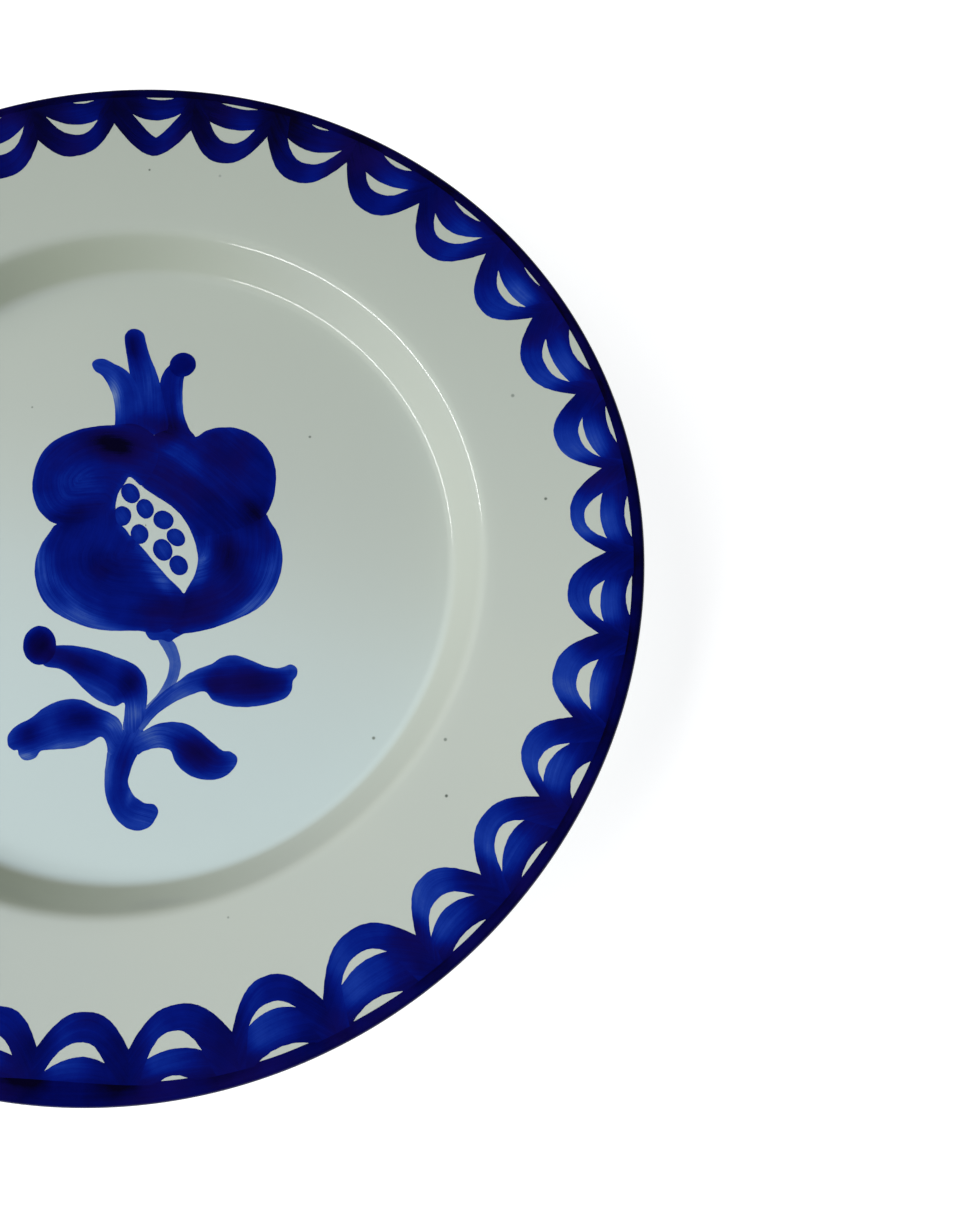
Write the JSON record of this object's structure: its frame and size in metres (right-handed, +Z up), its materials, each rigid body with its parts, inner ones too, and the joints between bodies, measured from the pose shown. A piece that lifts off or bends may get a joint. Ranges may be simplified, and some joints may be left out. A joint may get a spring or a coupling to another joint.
{
  "type": "painted ceramic plate",
  "caption": "Round footed ceramic plate with a wide flange and a shallow well, glazed white and brush painted in cobalt blue with a scalloped border and a pomegranate.",
  "frame": {"origin": "centre of the plate on the plane that the foot ring stands on", "axes": "+Z up along the plate's axis, out of the painted face; +Y towards the crown of the painted fruit; +X to its right"},
  "size_m": [0.2999, 0.3, 0.0313],
  "materials": {
    "fired_clay": "bare fired clay, matt and slightly gritty",
    "white_glaze": "glossy greyish white glaze with a few pinholes",
    "cobalt_dark": "glossy cobalt, laid thick",
    "cobalt": "glossy cobalt brushed on, uneven in depth",
    "cobalt_light": "glossy cobalt wash, thin"
  },
  "bodies": {
    "root": {"clay_body": "fired_clay", "foot_ring": "fired_clay", "face_glaze": "white_glaze", "back_glaze": "white_glaze", "base_glaze": "white_glaze", "rim_line": "cobalt_dark", "outer_scallops": "cobalt", "inner_scallops": "cobalt_light", "fruit_upper_left": "cobalt", "fruit_upper_right": "cobalt", "fruit_lower_left": "cobalt", "fruit_lower_right": "cobalt", "fruit_base": "cobalt", "seeds": "cobalt", "crown_left": "cobalt", "crown_middle": "cobalt", "crown_right": "cobalt", "crown_bead": "cobalt_dark", "stem": "cobalt_light", "stem_foot": "cobalt", "leaf_upper_left": "cobalt", "leaf_bud": "cobalt_dark", "leaf_upper_right": "cobalt", "leaf_lower_left": "cobalt", "leaf_lower_right": "cobalt"}
  },
  "joints": []
}
